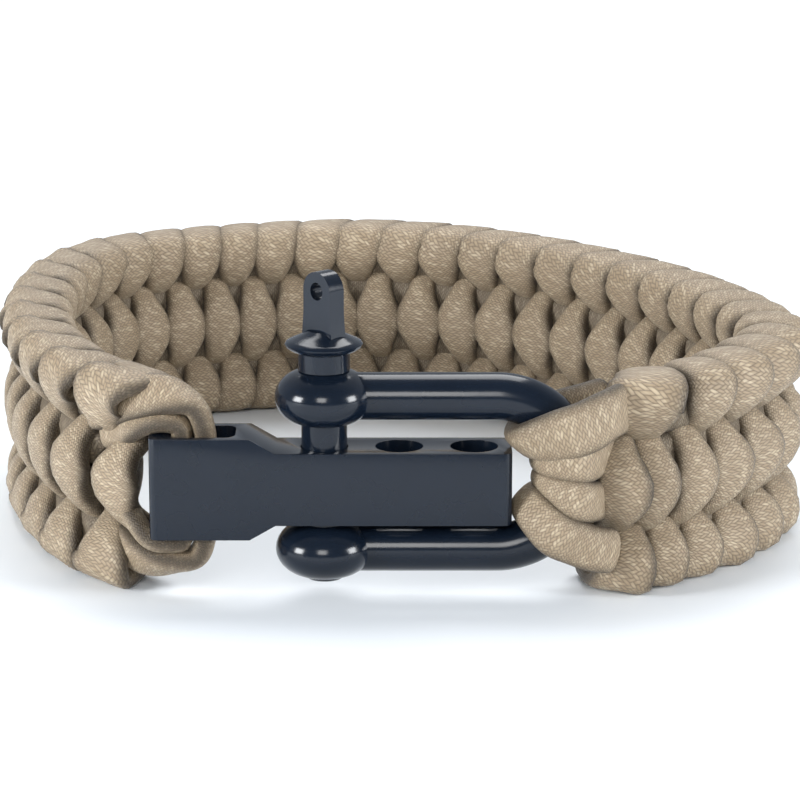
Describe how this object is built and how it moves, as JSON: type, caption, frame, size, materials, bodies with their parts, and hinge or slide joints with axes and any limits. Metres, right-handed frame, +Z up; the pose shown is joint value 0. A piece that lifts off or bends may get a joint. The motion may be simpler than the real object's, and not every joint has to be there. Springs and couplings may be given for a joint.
{
  "type": "paracord bracelet",
  "caption": "Woven cord bracelet, a closed wrist loop lying on its side, fastened by a shackle bow, an adjuster bar with pin holes and a screw pin with a holed grip tab.",
  "frame": {"origin": "middle of the bounding box's base, on the surface that the lower rim rests on", "axes": "+Z up, along the axis of the wrist loop and of the screw pin; -Y from the loop's middle towards the closure; +X from the bar's head towards the bow's bend"},
  "size_m": [0.0878, 0.088, 0.0337],
  "materials": {
    "cord": "braided nylon sheath",
    "black_metal": "satin black coat"
  },
  "bodies": {
    "bracelet": {"band": "cord", "left_loop_inner": "cord", "left_loop_outer": "cord", "right_loop_upper": "cord", "right_loop_mid_upper": "cord", "right_loop_mid_lower": "cord", "right_loop_lower": "cord", "adjuster_bar": "black_metal", "shackle_bow": "black_metal"},
    "pin": {"shackle_pin": "black_metal"}
  },
  "joints": [
    {"name": "pin_draw", "type": "slide", "parent": "bracelet", "child": "pin", "axis": [0, 0, 1], "range_m": [0, 0.015]}
  ]
}
